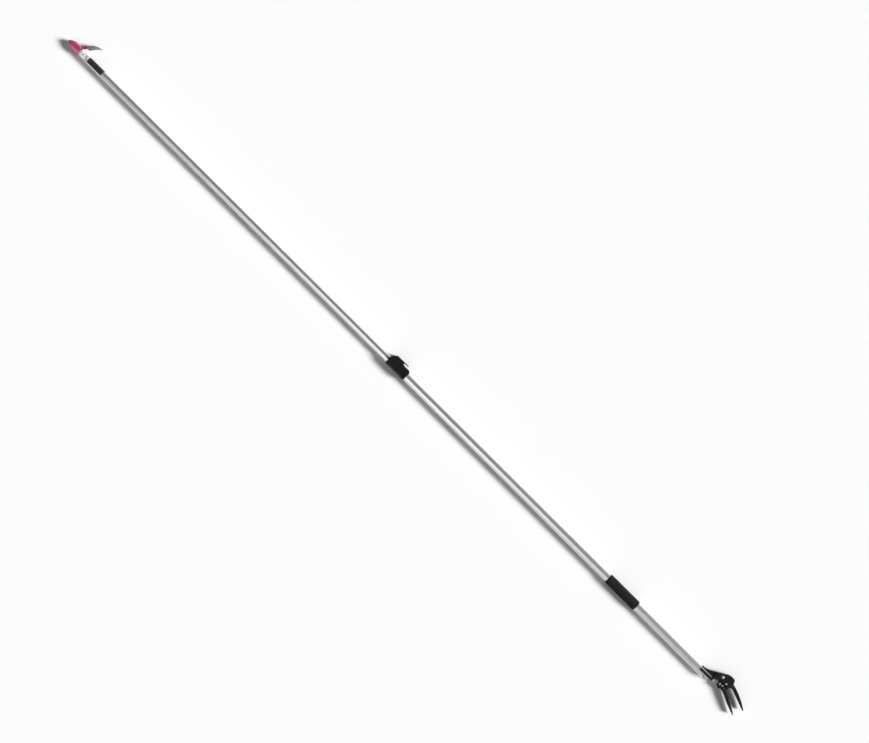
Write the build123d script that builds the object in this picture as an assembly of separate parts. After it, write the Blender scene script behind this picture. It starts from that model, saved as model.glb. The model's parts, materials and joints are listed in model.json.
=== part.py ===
from build123d import *
import os
from math import cos, pi, radians, sin, sqrt

# A long-reach telescoping pruner, lying at full length with the blade's plane level.
# The model is drawn on stations: X runs along the pole from the tip of the head, Y across it
# towards the blade, Z up from the pole's axis. place() moves it all into the part's own frame.

# Lengths along the pole
head_length = 49.0
neck_length = 37.0
upper_exposed = 1335.0
clamp_length = 79.0
lower_exposed = 898.0
grip_length = 126.0
hand_tube = 280.0
saddle_length = 48.0
overlap = 60.0            # upper tube beyond the clamp's rear face

# Tubes, bushes and rods
upper_od = 23.0
upper_wall = 1.2
lower_wall = 1.2
bush_thickness = 0.5
slide_gap = 0.3           # between what slides and what guides it
bush_length = 24.0
guide_length = 14.0
rod_diameter = 5.0
rod_gap = 1.2             # pull rod inside the draw tube
draw_wall = 1.3
rod_offset = 2.5          # rod line above the pole's axis
rod_overlap = 100.0       # pull rod inside the draw tube at full length
pin_gap = 0.05            # running fit of pins and bolts
slot_gap = 0.2            # pins in the linkage's slots

# Head
head_top = 15.5
head_bottom = 11.5
nose_height = 2.5
nose_radius = 2.6
nose_depth = 27.0         # solid part of the nose
cover_half = 9.5
cover_rim = 1.8
cover_bevel = 1.8
cover_screw = 3.0
cover_screw_blind = 3.0   # moulding left over each screw's end
cheek_inner = 5.2
cheek_thickness = 2.0
neck_top = 5.5
neck_bottom = 9.0
neck_web = 2.5
flange_thickness = 2.5
spigot_length = 30.0
neck_rivet = 4.0

# Blade
blade_pivot_station = 39.0
blade_bolt = 5.0
blade_sweep = 24.0
blade_pin = 3.2
plate_thickness = 3.0     # blade and arm alike
layer_gap = 0.2           # between the blade and the counter blade
blade_floor = -0.4        # underside of the blade
blade_reach = 98.0        # station of the blade's tip
blade_rise = 54.0
blade_rivet = 3.0
arm_reach = 27.0          # end of the red arm from the pivot, along the pole
arm_rise = 41.5           # and across it
blade_belly_run = 24.0    # corners of the blade's root, from the root of the arm
blade_belly_rise = 9.5
blade_heel_run = 14.0
blade_heel_rise = 10.5
blade_back_run = 10.0
blade_back_rise = 15.0
edge_breadth = 4.5        # ground bevel along the cutting edge
edge_depth = 2.2
counter_length = 22.0
counter_top = 10.0
counter_bottom = 3.0
counter_screw = 3.0

# Label
label_start = 1.5         # from the tube's front end
label_length = 63.0
label_thickness = 0.3
label_from = -40.0        # degrees round the tube from the top, towards the blade side
label_wrap = 200.0

# Clamp
clamp_band = 1.2          # thin side of the collar, over the lower tube
clamp_deck = 20.5         # flat top of the collar
clamp_nose = 31.0         # stretch that runs on the upper tube
clamp_corner = 7.0
lever_axis = 16.0         # lever pin behind the collar's front face
lever_pin = 4.0
ear_radius = 8.0
ear_outer = 12.0
lever_half = 7.6
lever_back = 9.0          # back of the lever above its pin
lever_root = 46.0         # thick part of the lever ends here
lever_tail = 62.0         # tip of the finger tab
tail_thickness = 3.0
cam_lift = 0.56
shoe_length = 16.0
shoe_half = 6.0
shoe_top = 15.5
clamp_screw = 4.0
pin_blind = 1.5           # ear left over the lever pin's upper end

# Grip
grip_thickness = 3.5
grip_bevel = 1.5

# Handle. Runs are from the saddle's front face, rises from the saddle's top
saddle_wall = 3.3
prong_low = 0.8           # lower edge of the saddle seen from above
prong_half = 7.0          # half breadth of the prong on the blade's side
window_low = 8.7
window_high = 11.8
plug_depth = 14.0
plug_length = 54.0
scarf_length = 30.0       # slant cut at the tube's end
plug_screw = 4.0
saddle_rivet = 4.0
web_half = 10.0
fork_half = 6.5
web_corner = 2.5
web_bevel = 2.0
shoulder_run = 38.0       # the casting's back: shoulder, hump, heel
shoulder_rise = 11.7
hump_start_run = 68.0
hump_start_rise = 28.5
hump_run = 88.0
hump_rise = 38.3
heel_run = 104.0
heel_rise = 37.0
bar_top_run = 110.0       # root of the fixed handle, upper and lower edge
bar_top_rise = 25.0
bar_low_run = 118.0
bar_low_rise = 11.2
stay_run = 107.0          # stay of the casting that comes down beside the lever
stay_rise = -1.0
stay_breadth = 7.0
stay_drop = 3.0
fork_rise = 3.5           # lower edge of the fork over the lever
pivot_run = 69.0
pivot_rise = 17.2
pivot_bolt_diameter = 6.0
lever_eye = 7.0
link_run = 8.0            # link pin from the lever pivot
link_drop = 21.5
link_pin = 4.0
boss_run = 82.0
boss_drop = 6.8           # boss centre below the saddle's top
boss_radius = 10.6
boss_rivet_run = 9.5      # rivet from the link pin
boss_rivet_rise = 1.0
boss_rivet_diameter = 3.4
stop_run = 91.2
stop_rise = 9.2
stop_pin_diameter = 4.0
handle_half = 7.5         # half breadth of both handles
handle_bevel = 1.0
handle_tip_radius = 1.4
handle_tip_run = 196.5
handle_tip_rise = -17.0
handle_mid_run = 156.0    # both edges of the fixed handle bow through here
handle_mid_top = 8.4
handle_mid_low = -2.6
squeeze_root_run = 107.0  # root of the squeeze handle, upper and lower edge
squeeze_root_top = -6.0
squeeze_root_low = -17.5
squeeze_tip_run = 184.0
squeeze_tip_drop = 48.2
squeeze_mid_run = 139.0
squeeze_mid_top = -21.8
squeeze_mid_low = -32.4
lever_neck_radius = 4.6
squeeze_angle = 10.2
clevis_thickness = 5.2
clevis_eye = 6.5
clevis_gap = 0.3

# Return spring and clutch
spring_wire = 1.4
spring_turns = 6
spring_length = 45.0
spring_gap = 0.9
collar_length = 5.0
collar_radius = 8.0
clutch_length = 30.0
clutch_radius = 7.0

# Stations and radii that follow
tube_start = head_length + neck_length
clamp_front = tube_start + upper_exposed
clamp_back = clamp_front + clamp_length
grip_start = clamp_back + lower_exposed
grip_end = grip_start + grip_length
saddle_front = grip_end + hand_tube
upper_end = clamp_back + overlap
lower_start = clamp_front + clamp_nose
lower_end = saddle_front + saddle_length
upper_radius = upper_od / 2
upper_bore = upper_radius - upper_wall
lower_bore = upper_radius + slide_gap + bush_thickness
lower_radius = lower_bore + lower_wall
rod_radius = rod_diameter / 2
draw_bore = rod_radius + rod_gap
draw_radius = draw_bore + draw_wall
rest_height = lower_radius + grip_thickness
cheek_outer = cheek_inner + cheek_thickness
blade_top = blade_floor + plate_thickness
arm_floor = blade_floor - plate_thickness
saddle_top = lower_radius + saddle_wall
lever_pivot = (saddle_front + pivot_run, saddle_top + pivot_rise)
link_point = (lever_pivot[0] + link_run, lever_pivot[1] - link_drop)
boss_point = (saddle_front + boss_run, saddle_top - boss_drop)
stop_point = (saddle_front + stop_run, saddle_top + stop_rise)

# The squeeze turns the lever's link pin about the pivot, which draws the rods back by rod_travel.
# The blade's pin stands symmetrically about the rod line, half a sweep each way.
squeeze = radians(squeeze_angle)
rod_travel = link_drop * sin(squeeze) - link_run * (1 - cos(squeeze))
link_lift = link_run * sin(squeeze) + link_drop * (1 - cos(squeeze))
half_sweep = radians(blade_sweep) / 2
blade_crank = rod_travel / (2 * sin(half_sweep))
blade_pivot = (blade_pivot_station, rod_offset - blade_crank * (1 + cos(half_sweep)) / 2)
blade_pin_point = (
    blade_pivot[0] - blade_crank * sin(half_sweep),
    blade_pivot[1] + blade_crank * cos(half_sweep),
)
blade_pin_lift = blade_crank * (1 - cos(half_sweep))


def rod(start, end, radius, y=0.0, z=0.0):
    """Round bar along the pole."""
    bar = Cylinder(radius, end - start, align=(Align.CENTER, Align.CENTER, Align.MIN))
    return Pos(start, y, z) * Rot(0, 90, 0) * bar


def ring(start, end, outer, inner, y=0.0):
    """Tube along the pole."""
    return rod(start, end, outer, y) - rod(start, end, inner, y)


def post(point, radius, low, high):
    """Round bar square to the blade's plane."""
    bar = Cylinder(radius, high - low, align=(Align.CENTER, Align.CENTER, Align.MIN))
    return Pos(point[0], point[1], low) * bar


def spoke(station, radius, inner, outer, angle):
    """Round bar that stands out from the pole's axis, at an angle from the top."""
    bar = Cylinder(radius, outer - inner, align=(Align.CENTER, Align.CENTER, Align.MIN))
    return Pos(station, 0, 0) * Rot(-angle, 0, 0) * Pos(0, 0, inner) * bar


def slab(sketch, low, high):
    """Plate of a plan outline between two heights."""
    return Pos(0, 0, low) * extrude(sketch, high - low)


def block(x_range, y_range, z_range):
    """Box between three pairs of limits."""
    low, high = zip(x_range, y_range, z_range)
    size = [b - a for a, b in zip(low, high)]
    return Pos(*low) * Box(*size, align=(Align.MIN, Align.MIN, Align.MIN))


def dot(point, radius):
    return Pos(*point) * Circle(radius)


def hull(*dots):
    """Outline drawn tight round several circles, each a point and a radius."""
    edges = []
    for point, radius in dots:
        edges += dot(point, radius).edges()
    return make_hull(edges)


def polygon(*points):
    return make_face(Polyline(*points, close=True))


def bevelled(sketch, low, high, bevel):
    """Plate with its upper and lower edges bevelled."""
    plate = slab(sketch, low, high)
    faces = plate.faces().sort_by(Axis.Z)
    return chamfer(faces[0].edges() + faces[-1].edges(), bevel)


def button_bolt(point, radius, low, high, head_radius, head_height):
    """Bolt through the blade's plane with a tapered head on top."""
    upright = (Align.CENTER, Align.CENTER, Align.MIN)
    taper = Cone(head_radius, head_radius * 0.6, head_height, align=upright)
    return post(point, radius, low, high) + Pos(point[0], point[1], high) * taper


def screw_from_below(point, radius, low, high, head_radius, head_height):
    """Screw through the blade's plane with its head underneath."""
    head = post(point, head_radius, low - head_height, low)
    return post(point, radius, low, high) + head


def hex_nut(point, radius, across, low, high):
    hexagon = Pos(*point) * RegularPolygon(across / 2, 6, major_radius=False)
    return slab(hexagon, low, high) - post(point, radius, low, high)


def rotated(point, centre, angle):
    """Point turned about a centre, in radians, anticlockwise seen from above."""
    x = point[0] - centre[0]
    y = point[1] - centre[1]
    return (
        centre[0] + x * cos(angle) - y * sin(angle),
        centre[1] + x * sin(angle) + y * cos(angle),
    )


# Head: two red covers on a forked neck


def cover_outline():
    """Teardrop seen from above: pointed front, crown, straight rear edge."""
    crown = (head_length * 0.74, head_top)
    rear_top = (head_length, head_top - 1.5)
    rear_low = (head_length, -head_bottom + 0.8)
    nose = (0, nose_height)
    roof = TangentArc(crown, nose, tangent=Vector(*crown) - Vector(*rear_top))
    edges = [
        ThreePointArc(nose, roof @ 0.5, crown),
        Line(crown, rear_top),
        Line(rear_top, rear_low),
        ThreePointArc(rear_low, (head_length * 0.5, -head_bottom), nose),
    ]
    sketch = make_face(edges)
    return fillet(sketch.vertices().sort_by(Axis.X)[0], nose_radius)


def head_covers():
    """Both halves of the head, hollow behind the nose and open to the rear and the blade side."""
    outline = cover_outline()
    whole = bevelled(outline, -cover_half, cover_half, cover_bevel)
    behind_nose = (nose_depth, head_length * 2)
    side = (-cheek_outer, cheek_outer)
    inside = slab(offset(outline, -cover_rim), *side)
    cavity = inside & block(behind_nose, (-head_top * 2, head_top * 2), side)
    rear = block((head_length - 2 * cover_rim, head_length * 2), (-neck_bottom, head_top * 2), side)
    wall_end = blade_pivot_station + 0.5
    blade_way = block((wall_end, head_length * 2), (0, head_top * 2), side)
    shell = whole - cavity - rear - blade_way
    for point in cover_screw_points():
        shell -= post(point, cover_screw / 2, -cover_half, cover_half - cover_screw_blind)
    shell -= post(blade_pivot, blade_bolt / 2, -cover_half, 0)
    reach = (-head_length, head_length * 2)
    breadth = (-head_length, head_length)
    upper = shell & block(reach, breadth, (0, cover_half * 2))
    lower = shell & block(reach, breadth, (-cover_half * 2, 0))
    return upper, lower


def cover_screw_points():
    return [(nose_depth * 0.42, nose_height + 0.8), (nose_depth * 0.82, nose_height + 3.5)]


def cover_screws():
    radius = cover_screw / 2
    top = cover_half - cover_screw_blind
    screws = []
    for point in cover_screw_points():
        screws.append(screw_from_below(point, radius, -cover_half, top, radius * 1.7, 1.5))
    return screws


def neck():
    """Forked bracket: two cheeks, a web under the rod, a flange and a spigot in the tube."""
    eye = 4.2
    stem = Pos(blade_pivot[0], -neck_bottom) * Rectangle(
        tube_start - blade_pivot[0], neck_bottom + neck_top, align=(Align.MIN, Align.MIN)
    )
    side = stem + hull((blade_pivot, eye), ((blade_pivot[0] + eye, rod_offset), eye * 0.7))
    cheeks = slab(side, cheek_inner, cheek_outer) + slab(side, -cheek_outer, -cheek_inner)
    web = block(
        (head_length + 2, tube_start),
        (-neck_bottom, -neck_bottom + neck_web),
        (-cheek_inner, cheek_inner),
    )
    flange = rod(tube_start - flange_thickness, tube_start, upper_radius)
    spigot = rod(tube_start, tube_start + spigot_length, upper_bore)
    body = cheeks + web + flange + spigot
    rod_way = rod_radius + slide_gap
    body -= rod(tube_start - flange_thickness, tube_start + spigot_length, rod_way, rod_offset)
    body -= post(blade_pivot, blade_bolt / 2, -cheek_outer, cheek_outer)
    for point in counter_screw_points():
        body -= post(point, counter_screw / 2, cheek_inner, cheek_outer)
    for station in neck_rivet_stations():
        body -= spoke(station, neck_rivet / 2, upper_bore - 4, upper_bore + 1, -90)
    return body


def neck_rivet_stations():
    return [tube_start + spigot_length * 0.27, tube_start + spigot_length * 0.73]


def neck_rivets():
    rivets = []
    for station in neck_rivet_stations():
        shank = spoke(station, neck_rivet / 2, upper_bore - 4, upper_radius, -90)
        head = spoke(station, neck_rivet * 0.8, upper_radius, upper_radius + 0.9, -90)
        rivets.append(shank + head)
    return rivets


def counter_front():
    return tube_start - flange_thickness - 1.5 - counter_length


def counter_screw_points():
    front = counter_front()
    return [(front + counter_length * 0.2, rod_offset - 1.5), (front + counter_length * 0.8, rod_offset)]


def counter_blade():
    """Fixed steel edge on the neck's upper cheek, past which the blade shears."""
    front = counter_front()
    back = front + counter_length
    outline = polygon(
        (front, -counter_bottom),
        (back, -counter_bottom),
        (back, counter_top),
        (front + 6, counter_top),
        (front, counter_top - 5),
    )
    plate = slab(outline, blade_top + layer_gap, cheek_inner)
    for point in counter_screw_points():
        plate -= post(point, counter_screw / 2, blade_top, cheek_inner)
    return plate


def counter_screws():
    low = blade_top + 2 * layer_gap
    screws = []
    for point in counter_screw_points():
        screws.append(button_bolt(point, counter_screw / 2, low, cheek_outer, counter_screw, 1.6))
    return screws


def blade_arm_points():
    root = (blade_pivot[0] + 5.5, head_top - 3)
    end = (blade_pivot[0] + arm_reach, blade_pivot[1] + arm_rise)
    return root, end


def blade_rivet_points():
    root, end = blade_arm_points()
    near, far = 0.68, 0.96
    return [tuple(a + (b - a) * share for a, b in zip(root, end)) for share in (near, far)]


def blade_arm():
    """Red arm that turns on the pivot bolt and carries the blade on its upper face."""
    hub = 4.0
    root, end = blade_arm_points()
    plan = hull((blade_pivot, 4.4), (blade_pin_point, 3.6))
    plan += hull((blade_pin_point, 3.6), (root, 3.9))
    plan += hull((root, 3.9), (end, 3.4))
    arm = slab(plan, arm_floor, blade_floor)
    arm += post(blade_pivot, hub, -cheek_inner + layer_gap, cheek_inner - layer_gap)
    arm -= post(blade_pivot, blade_bolt / 2 + pin_gap, -cheek_inner, cheek_inner)
    arm -= post(blade_pin_point, blade_pin / 2, arm_floor, blade_floor)
    for point in blade_rivet_points():
        arm -= post(point, blade_rivet / 2, arm_floor, blade_floor)
    return arm


def cutting_blade():
    """Hooked blade on the arm's end: belly with an inner point, fine tip, edge ground from below."""
    root = blade_arm_points()[0]
    tip = (blade_reach, blade_rise)
    belly = (root[0] + blade_belly_run, root[1] + blade_belly_rise)
    heel = (root[0] + blade_heel_run, root[1] + blade_heel_rise)
    back = (root[0] + blade_back_run, root[1] + blade_back_rise)
    edge = ThreePointArc(tip, (tip[0] - 14.5, tip[1] - 12.5), belly)
    outline = [
        ThreePointArc(back, (tip[0] - 27, tip[1] - 7.5), tip),
        edge,
        ThreePointArc(belly, (root[0] + 19, root[1] + 11.5), heel),
        Line(heel, back),
    ]
    blade = slab(make_face(outline), blade_floor, blade_top)
    upright = (Align.CENTER, Align.CENTER, Align.MIN)
    ground = Cone(edge.radius + edge_breadth, edge.radius, edge_depth, align=upright)
    blade -= Pos(edge.arc_center.X, edge.arc_center.Y, blade_floor) * ground
    for point in blade_rivet_points():
        blade -= post(point, blade_rivet / 2, blade_floor, blade_top)
    return blade


def blade_rivets():
    radius = blade_rivet / 2
    rivets = []
    for point in blade_rivet_points():
        rivets.append(screw_from_below(point, radius, arm_floor, blade_top, radius * 1.7, 1.0))
    return rivets


def blade_pin_post():
    return post(blade_pin_point, blade_pin / 2, arm_floor, blade_top)


def blade_pivot_bolt():
    """Stud in the neck's upper cheek, drawn up by a nut under the lower cover."""
    return post(blade_pivot, blade_bolt / 2, -cover_half - 3.5, cheek_outer)


def blade_pivot_nut():
    return hex_nut(blade_pivot, blade_bolt / 2, blade_bolt * 1.6, -cover_half - 3.0, -cover_half)


# Rods


def rod_end():
    """Flat eye on the pull rod, with an upright slot for the blade's pin."""
    half = 4.0
    low = blade_floor + slide_gap
    lap_end = head_length + 14
    front = blade_pin_point[0] - blade_pin / 2 - 3
    corner = (Align.MIN, Align.MIN)
    plan = Pos(front, rod_offset - half) * Rectangle(lap_end - front, 2 * half, align=corner)
    plan = fillet(plan.vertices().group_by(Axis.X)[0], 2.5)
    slot_half = blade_pin / 2 + slot_gap
    plan -= hull(
        ((blade_pin_point[0], blade_pin_point[1] - slot_gap), slot_half),
        ((blade_pin_point[0], blade_pin_point[1] + blade_pin_lift + slot_gap), slot_half),
    )
    return slab(plan, low, blade_top)


def pull_rod():
    """Round rod from the head into the draw tube, half cut away under the eye."""
    start = head_length + 4
    lap_end = head_length + 14
    low = blade_floor + slide_gap
    bar = rod(start, clutch_front() + clutch_length + rod_overlap, rod_radius, rod_offset)
    reach = (rod_offset - rod_diameter, rod_offset + rod_diameter)
    return bar - block((start, lap_end), reach, (low, rod_diameter))


def clutch_front():
    return clamp_back - clutch_length / 6


def draw_end():
    return saddle_front + saddle_length - 8


def rod_clutch():
    """Collar that grips the pull rod at the mouth of the draw tube."""
    front = clutch_front()
    mouth = front + clutch_length / 2
    body = rod(front, front + clutch_length, clutch_radius, rod_offset)
    body -= rod(front, mouth, rod_radius + slide_gap, rod_offset)
    return body - rod(mouth, front + clutch_length, draw_radius, rod_offset)


def draw_tube():
    start = clutch_front() + clutch_length / 2
    return ring(start, draw_end(), draw_radius, draw_bore, rod_offset)


def draw_clevis():
    """Stem in the draw tube, a crank up to the lever, and a slotted eye under the lever's boss."""
    top = -clevis_gap
    low = top - clevis_thickness
    end = draw_end()
    stem = rod(end - 15, end, draw_bore, rod_offset) + rod(end, end + 6, draw_radius, rod_offset)
    link_mid = link_point[1] + link_lift / 2
    knee = (end + draw_radius + 7, rod_offset + 2)
    plan = hull(((end + draw_radius + 1, rod_offset), draw_radius), (knee, draw_radius))
    plan += hull((knee, draw_radius), ((link_point[0], link_mid), clevis_eye))
    slot_half = link_pin / 2 + slot_gap
    plan -= hull(
        ((link_point[0], link_point[1] - slot_gap), slot_half),
        ((link_point[0], link_point[1] + link_lift + slot_gap), slot_half),
    )
    return stem + slab(plan, low, top)


def spring_collar():
    front = saddle_front - plug_depth - spring_length - collar_length
    return ring(front, front + collar_length, collar_radius, draw_radius, rod_offset)


def quarter_arcs(start, start_tangent, end, end_tangent):
    """Two tangent arcs that join two points of the coil."""
    chord = end - start
    sum_tangent = start_tangent + end_tangent
    fall = 1 - start_tangent.dot(end_tangent)
    along = chord.dot(sum_tangent)
    arm = (-along + sqrt(along**2 + 2 * fall * chord.dot(chord))) / (2 * fall)
    first = start + start_tangent * arm
    second = end - end_tangent * arm
    middle = (first + second) * 0.5
    return [
        TangentArc(start, middle, tangent=start_tangent),
        TangentArc(middle, end, tangent=(second - first).normalized()),
    ]


def return_spring():
    """Coil round the draw tube: a helix of steady pitch, laid as pairs of arcs per half turn."""
    radius = draw_radius + spring_gap + spring_wire / 2
    rise = (spring_length - spring_wire) / (2 * spring_turns)
    slope = Vector(rise, 0, 0)
    points = []
    tangents = []
    for half in range(2 * spring_turns + 1):
        side = 1 if half % 2 == 0 else -1
        points.append(Vector(rise * half, side * radius, 0))
        tangents.append((slope + Vector(0, 0, side * pi * radius)).normalized())
    path = []
    for half in range(2 * spring_turns):
        path += quarter_arcs(points[half], tangents[half], points[half + 1], tangents[half + 1])
    pitch = 2 * rise
    print("return_spring least gap between turns, mm:", round(pitch * 0.99 - spring_wire, 2))
    section = Plane(points[0], z_dir=tangents[0]) * RegularPolygon(spring_wire / 2, 4)
    front = saddle_front - plug_depth - spring_length + spring_wire / 2
    return Pos(front, rod_offset, 0) * sweep(section, path=Wire(path))


# Tubes and what is between them


def upper_tube():
    tube = ring(tube_start, upper_end, upper_radius, upper_bore)
    for station in neck_rivet_stations():
        tube -= spoke(station, neck_rivet / 2, upper_bore - 1, upper_radius + 1, -90)
    return tube


def label_band():
    """Bare band stuck part of the way round the upper tube."""
    radius = upper_radius + label_thickness
    front = tube_start + label_start
    section = make_face(
        Polyline(
            (front, upper_radius),
            (front + label_length, upper_radius),
            (front + label_length, radius),
            (front, radius),
            close=True,
        )
    )
    turned = revolve(Plane.XZ * section, Axis.X, label_wrap)
    return Rot(-label_from - label_wrap, 0, 0) * turned


def slide_bush():
    end = upper_end - 2
    return ring(end - bush_length, end, lower_bore - slide_gap, upper_radius)


def rod_guide():
    disc = rod(upper_end - guide_length, upper_end, upper_bore)
    return disc - rod(upper_end - guide_length, upper_end, draw_radius + slide_gap, rod_offset)


def guide_bush():
    return ring(lower_start, lower_start + bush_length, lower_bore, upper_radius + slide_gap)


def scarf(reach):
    """What the slant cut takes off the tube's near end, on the side away from the blade."""
    low = -lower_radius - reach
    back = lower_end + reach
    start = lower_end - scarf_length
    slope = scarf_length / lower_radius
    cut = polygon((lower_end, 0), (back, 0), (back, low), (start - slope * reach, low))
    return slab(cut, -lower_radius - reach, lower_radius + reach)


def lower_tube():
    tube = ring(lower_start, lower_end, lower_radius, lower_bore) - scarf(5)
    for station in clamp_screw_stations():
        tube -= spoke(station, clamp_screw / 2, lower_bore - 1, lower_radius + 1, -90)
    for angle in plug_screw_angles():
        tube -= spoke(plug_screw_station(), plug_screw / 2, lower_bore - 1, lower_radius + 1, angle)
    for station in saddle_rivet_stations():
        tube -= spoke(station, saddle_rivet / 2, lower_bore - 1, lower_radius + 1, 90)
    return tube


def foam_grip():
    sleeve = ring(grip_start, grip_end, rest_height, lower_radius)
    rims = sleeve.edges().filter_by(GeomType.CIRCLE).filter_by(lambda e: e.radius > rest_height - 0.1)
    return chamfer(rims, grip_bevel)


# Clamp


def lever_pin_point():
    return (clamp_front + lever_axis, clamp_deck)


def clamp_screw_stations():
    return [lower_start + 16, clamp_back - 9]


def clamp_body():
    """Moulded collar: its plan and its cross-section meet, then bores and the lever's bay are cut."""
    band = lower_radius + clamp_band
    pin = lever_pin_point()
    front = clamp_front
    back = clamp_back
    shoulder = front + lever_root + 7
    plan = make_face(
        [
            Line((front, -band + 3), (front + 3, -band)),
            Line((front + 3, -band), (back - 3, -band)),
            Line((back - 3, -band), (back, -band + 3)),
            Line((back, -band + 3), (back, clamp_deck - 6)),
            Line((back, clamp_deck - 6), (back - 6, clamp_deck)),
            Line((back - 6, clamp_deck), (shoulder, clamp_deck)),
            Line((shoulder, clamp_deck), (pin[0] + 3, pin[1] + ear_radius - 0.5)),
            ThreePointArc(
                (pin[0] + 3, pin[1] + ear_radius - 0.5),
                (pin[0], pin[1] + ear_radius),
                (pin[0] - 5, pin[1] + ear_radius - 2),
            ),
            Line((pin[0] - 5, pin[1] + ear_radius - 2), (front, clamp_deck - 10)),
            Line((front, clamp_deck - 10), (front, -band + 3)),
        ]
    )
    collar = Plane.YZ * (
        Pos(-band, 0)
        * Rectangle(band + clamp_deck, 2 * rest_height, align=(Align.MIN, Align.CENTER))
    )
    collar = fillet(collar.vertices(), clamp_corner)
    ears = Plane.YZ * (
        Rectangle(clamp_deck + ear_radius + 1, 2 * ear_outer, align=(Align.MIN, Align.CENTER))
    )
    section = extrude(Pos(front, 0, 0) * collar, clamp_length)
    section += extrude(Pos(front, 0, 0) * ears, clamp_length)
    body = slab(plan, -rest_height, rest_height) & section
    bay = lever_half + slide_gap
    body -= block((front - 1, shoulder - 2.5), (shoe_top - slide_gap, clamp_deck * 3), (-bay, bay))
    body -= rod(front - 1, lower_start, upper_radius + slide_gap)
    body -= rod(lower_start, back + 1, lower_radius)
    side = shoe_half + slide_gap
    half = shoe_length / 2 + slide_gap
    body -= block((pin[0] - half, pin[0] + half), (0, shoe_top + 1), (-side, side))
    body -= post(pin, lever_pin / 2, -ear_outer - 1, ear_outer - pin_blind)
    for station in clamp_screw_stations():
        body -= spoke(station, clamp_screw / 2, lower_radius - 1, band + 2, -90)
    return body


def clamp_screws():
    band = lower_radius + clamp_band
    screws = []
    for station in clamp_screw_stations():
        shank = spoke(station, clamp_screw / 2, lower_bore + 0.2, band, -90)
        screws.append(shank + spoke(station, clamp_screw * 0.85, band, band + 1.2, -90))
    return screws


def lever_pin_post():
    return post(lever_pin_point(), lever_pin / 2, -ear_outer, ear_outer - pin_blind)


def lock_lever():
    """Flip lever: a cam round the pin, a thick back, and a thin finger tab clear of the collar."""
    pin = lever_pin_point()
    front = clamp_front
    top = pin[1] + lever_back
    underside = clamp_deck + 0.8
    root = front + lever_root
    tail = front + lever_tail
    tab = top - tail_thickness
    cam_radius = clamp_deck - shoe_top - slide_gap - cam_lift
    cam = dot((pin[0], pin[1] - cam_lift), cam_radius)
    back = make_face(
        [
            Line((pin[0] - 3, pin[1] + 1), (pin[0] - 3, top - 3)),
            ThreePointArc((pin[0] - 3, top - 3), (pin[0] - 1.5, top - 1), (pin[0] + 2, top - 0.5)),
            Line((pin[0] + 2, top - 0.5), (root, top)),
            Line((root, top), (tail - 1, top)),
            ThreePointArc((tail - 1, top), (tail, top - tail_thickness / 2), (tail - 1, tab)),
            Line((tail - 1, tab), (root + 2, tab)),
            ThreePointArc((root + 2, tab), (root - 0.5, tab - 2), (root - 2, underside)),
            Line((root - 2, underside), (pin[0] + 3, underside)),
            Line((pin[0] + 3, underside), (pin[0] - 3, pin[1] + 1)),
        ]
    )
    lever = slab(back + cam, -lever_half, lever_half)
    return lever - post(pin, lever_pin / 2 + pin_gap, -lever_half, lever_half)


def brake_shoe():
    """Pad between the cam and the upper tube, hollowed to the tube."""
    pin = lever_pin_point()
    half = shoe_length / 2
    pad = block((pin[0] - half, pin[0] + half), (upper_radius * 0.7, shoe_top), (-shoe_half, shoe_half))
    return pad - rod(pin[0] - half, pin[0] + half, upper_radius + slide_gap)


# Handle


def saddle_rivet_stations():
    return [saddle_front + saddle_length * 0.2, saddle_front + saddle_length * 0.7]


def plug_screw_station():
    return saddle_front + saddle_length / 2 - 2


def plug_screw_angles():
    return [-24.0, -156.0]


def handle_point(run, rise):
    """Point of the handle's plan, from the saddle's front face and top."""
    return (saddle_front + run, saddle_top + rise)


def handle_web():
    """Plan of the casting from the saddle to the root of the fixed handle."""
    front_top = handle_point(0, -0.8)
    shoulder = handle_point(shoulder_run, shoulder_rise)
    hump_start = handle_point(hump_start_run, hump_start_rise)
    heel = handle_point(heel_run, heel_rise)
    bar_top = handle_point(bar_top_run, bar_top_rise)
    bar_low = handle_point(bar_low_run, bar_low_rise)
    stay_top = handle_point(stay_run, bar_low_rise - 2.5)
    stay_back = handle_point(stay_run, stay_rise)
    stay_front = handle_point(stay_run - stay_breadth, stay_rise - stay_drop)
    fork_back = handle_point(stay_run - 2 * stay_breadth, fork_rise)
    fork_front = handle_point(pivot_run - 3, fork_rise)
    side = lower_radius - 5.7
    edges = [
        ThreePointArc(front_top, handle_point(shoulder_run * 0.58, shoulder_rise * 0.26), shoulder),
        Line(shoulder, hump_start),
        ThreePointArc(hump_start, handle_point(hump_run, hump_rise), heel),
        Line(heel, bar_top),
        Line(bar_top, bar_low),
        Line(bar_low, stay_top),
        Line(stay_top, stay_back),
        Line(stay_back, stay_front),
        Line(stay_front, fork_back),
        Line(fork_back, fork_front),
        Line(fork_front, (lower_end + 3, side)),
        Line((lower_end + 3, side), (saddle_front, side)),
        Line((saddle_front, side), front_top),
    ]
    sketch = make_face(edges)
    return fillet(sketch.vertices(), web_corner)


def leaf(root_top, mid_top, tip, mid_low, root_low, back):
    """Plan of a handle: two bowed edges that run together in a rounded tip."""
    sketch = make_face(
        [
            ThreePointArc(root_top, mid_top, tip),
            ThreePointArc(tip, mid_low, root_low),
            Line(root_low, back),
            Line(back, root_top),
        ]
    )
    return fillet(sketch.vertices().sort_by(Axis.X)[-1], handle_tip_radius)


def fixed_bar():
    """The fixed handle, let into the casting's heel."""
    plan = leaf(
        handle_point(bar_top_run, bar_top_rise),
        handle_point(handle_mid_run, handle_mid_top),
        handle_point(handle_tip_run, handle_tip_rise),
        handle_point(handle_mid_run, handle_mid_low),
        handle_point(bar_low_run, bar_low_rise),
        handle_point(heel_run, bar_low_rise + 6),
    )
    return bevelled(plan, -handle_half, handle_half, handle_bevel)


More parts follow.
